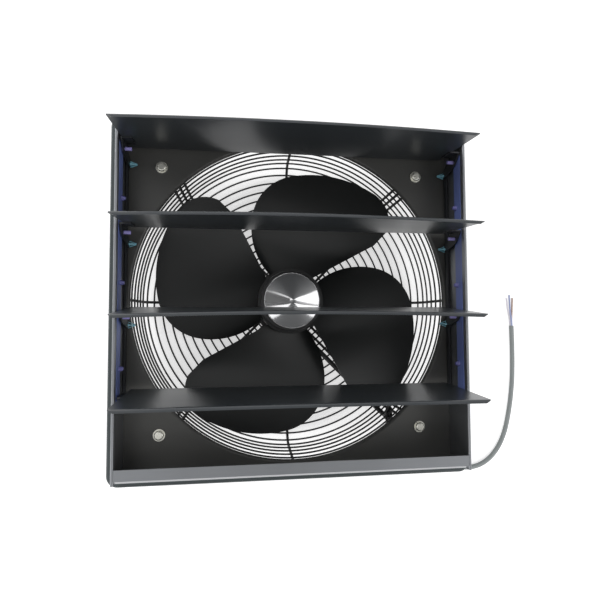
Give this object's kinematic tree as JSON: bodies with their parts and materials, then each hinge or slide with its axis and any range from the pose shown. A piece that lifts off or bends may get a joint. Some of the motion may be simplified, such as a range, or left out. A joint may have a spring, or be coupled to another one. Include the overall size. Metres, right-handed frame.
{
  "type": "shutter exhaust fan",
  "caption": "Square wall exhaust fan with a wire guard, a broad-bladed wheel and a louvre shutter whose linked slats stand open, with its mains lead",
  "frame": {"origin": "on the fan's axis, at the level of the rearmost wires of the guard, on which it lies", "axes": "+X to the right of the open front, +Y to the top of the fan, +Z out of the shutter"},
  "size_m": [0.5096, 0.4165, 0.1807],
  "materials": {
    "casing_black": "semi-gloss",
    "panel_brown": "satin",
    "frame_silver": "satin",
    "slat_black": "anodised, semi-gloss",
    "bracket_black": "satin",
    "strip_blue": "satin",
    "peg_white": "satin",
    "pin_violet": "satin",
    "pin_teal": "satin",
    "rod_dark": "satin",
    "guard_wire": "satin",
    "screw_nickel": "nickel plated",
    "motor_alloy": "cast",
    "bearing_steel": "ground",
    "core_steel": "laminated",
    "copper_winding": "enamelled copper",
    "rotor_black": "satin",
    "blade_black": "satin",
    "cap_chrome": "polished",
    "cord_black": "matt",
    "gland_black": "matt",
    "cord_grey": "satin",
    "core_white": "satin",
    "core_blue": "satin",
    "core_brown": "satin"
  },
  "bodies": {
    "housing": {"blue_core": "core_blue", "bottom_sill": "frame_silver", "brown_core": "core_brown", "cable_clips": "gland_black", "cable_gland": "gland_black", "corner_nuts": "screw_nickel", "corner_screws": "screw_nickel", "corner_washers": "screw_nickel", "fan_panel": "panel_brown", "frame_rivets": "screw_nickel", "front_bearing": "bearing_steel", "guard_arms": "guard_wire", "guard_feet": "guard_wire", "guard_rear_rings": "guard_wire", "guard_side_rings": "guard_wire", "guard_spokes": "guard_wire", "left_bearing_strip": "strip_blue", "left_stile": "frame_silver", "motor_lead": "cord_black", "motor_plate": "guard_wire", "motor_screws": "screw_nickel", "outer_casing": "casing_black", "power_cord": "cord_grey", "rear_bearing": "bearing_steel", "right_bearing_strip": "strip_blue", "right_stile": "frame_silver", "stator_base": "motor_alloy", "stator_core": "core_steel", "stator_windings": "copper_winding", "strip_pegs": "peg_white", "top_rail": "frame_silver", "white_core": "core_white"},
    "fan_wheel": {"rotor_can": "rotor_black", "rotor_shaft": "bearing_steel", "hub_ring": "blade_black", "blade_1": "blade_black", "blade_2": "blade_black", "blade_3": "blade_black", "blade_4": "blade_black", "hub_cap": "cap_chrome"},
    "slat_1": {"slat_1": "slat_black", "slat_1_brackets": "bracket_black", "slat_1_pins": "pin_violet"},
    "slat_2": {"slat_2": "slat_black", "slat_2_brackets": "bracket_black", "slat_2_pins": "pin_violet"},
    "slat_3": {"slat_3": "slat_black", "slat_3_brackets": "bracket_black", "slat_3_pins": "pin_violet"},
    "slat_4": {"slat_4": "slat_black", "slat_4_brackets": "bracket_black", "slat_4_pins": "pin_violet"},
    "left_link": {"left_link_rod": "rod_dark", "left_link_pins": "pin_teal"},
    "right_link": {"right_link_rod": "rod_dark", "right_link_pins": "pin_teal"}
  },
  "joints": [
    {"name": "fan_spin", "type": "hinge", "parent": "housing", "child": "fan_wheel", "pos_m": [0, 0, 0.03], "axis": [0, 0, 1], "continuous": true},
    {"name": "slat_1_hinge", "type": "hinge", "parent": "housing", "child": "slat_1", "pos_m": [0, 0.156, 0.104], "axis": [1, 0, 0], "range_deg": [0, 75]},
    {"name": "slat_2_hinge", "type": "hinge", "parent": "housing", "child": "slat_2", "pos_m": [0, 0.068, 0.104], "axis": [1, 0, 0], "range_deg": [0, 75]},
    {"name": "slat_3_hinge", "type": "hinge", "parent": "housing", "child": "slat_3", "pos_m": [0, -0.02, 0.104], "axis": [1, 0, 0], "range_deg": [0, 75]},
    {"name": "slat_4_hinge", "type": "hinge", "parent": "housing", "child": "slat_4", "pos_m": [0, -0.108, 0.104], "axis": [1, 0, 0], "range_deg": [0, 75]},
    {"name": "left_link_hinge", "type": "hinge", "parent": "slat_1", "child": "left_link", "pos_m": [-0.1833, 0.148, 0.0775], "axis": [1, 0, 0], "range_deg": [-75, 0]},
    {"name": "right_link_hinge", "type": "hinge", "parent": "slat_1", "child": "right_link", "pos_m": [0.1833, 0.148, 0.0775], "axis": [1, 0, 0], "range_deg": [-75, 0]}
  ],
  "couplings": [
    {"joint": "slat_2_hinge", "follows": "slat_1_hinge", "ratio": 1},
    {"joint": "slat_3_hinge", "follows": "slat_1_hinge", "ratio": 1},
    {"joint": "slat_4_hinge", "follows": "slat_1_hinge", "ratio": 1},
    {"joint": "left_link_hinge", "follows": "slat_1_hinge", "ratio": -1},
    {"joint": "right_link_hinge", "follows": "slat_1_hinge", "ratio": -1}
  ]
}
